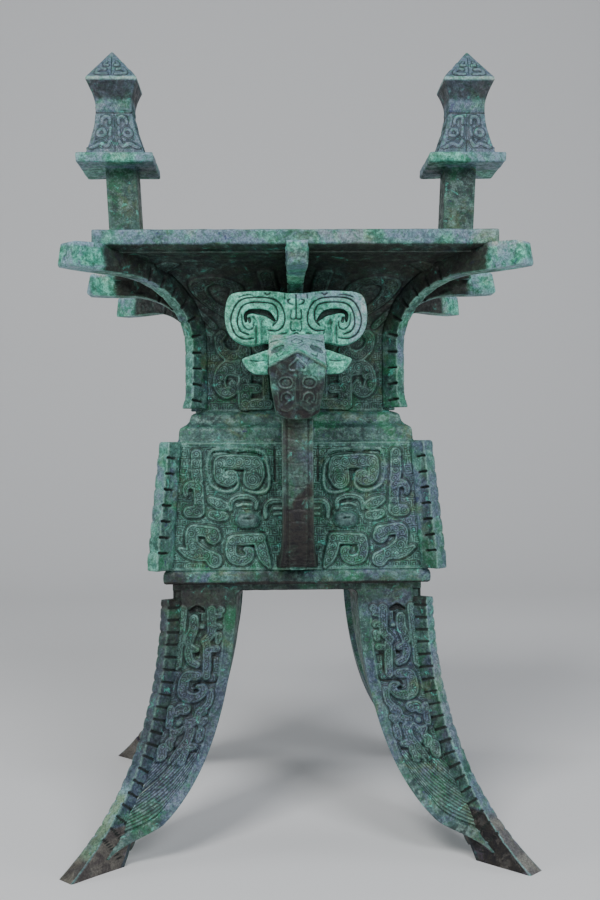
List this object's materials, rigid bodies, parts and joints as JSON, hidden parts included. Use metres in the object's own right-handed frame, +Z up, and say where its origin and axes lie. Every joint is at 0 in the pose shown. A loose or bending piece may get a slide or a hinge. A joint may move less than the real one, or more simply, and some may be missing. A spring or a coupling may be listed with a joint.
{
  "type": "bronze fang jia",
  "caption": "Square Chinese bronze wine vessel with splayed legs, slotted flanges, two capped posts on the rim and an animal-head handle.",
  "frame": {"origin": "centre of the vessel's footprint, on the surface that it stands on", "axes": "+Z up, -Y towards the handle, the two posts lie along X"},
  "size_m": [0.3698, 0.3596, 0.665],
  "materials": {
    "bronze": "green archaeological patina, matt"
  },
  "bodies": {
    "root": {"jia_vessel": "bronze"}
  },
  "joints": []
}
